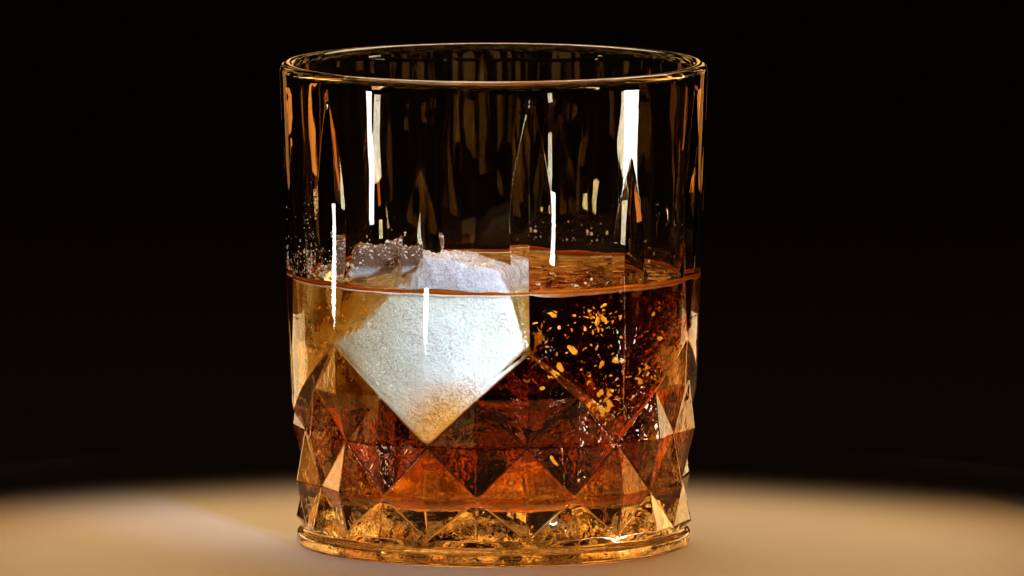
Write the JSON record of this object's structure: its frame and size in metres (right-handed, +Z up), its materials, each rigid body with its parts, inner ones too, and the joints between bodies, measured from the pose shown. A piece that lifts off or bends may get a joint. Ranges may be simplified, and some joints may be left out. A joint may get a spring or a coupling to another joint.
{
  "type": "whisky on the rocks",
  "caption": "Whisky with ice in a straight-sided tumbler of clear glass, pressed with a diamond net and upright lancet cuts.",
  "frame": {"origin": "centre of the foot's flat underside, on the surface that the glass stands on", "axes": "+Z up the axis of the glass, -Y towards the front, where the large piece of ice leans against the wall, +X to the viewer's right"},
  "size_m": [0.084, 0.084, 0.095],
  "materials": {
    "tumbler_glass": "clear polished soda lime glass",
    "whisky": "clear amber liquid",
    "ice": "wet cloudy ice with frosted patches"
  },
  "bodies": {
    "root": {"tumbler": "tumbler_glass", "whisky": "whisky", "ice_large": "ice", "ice_small": "ice"}
  },
  "joints": []
}
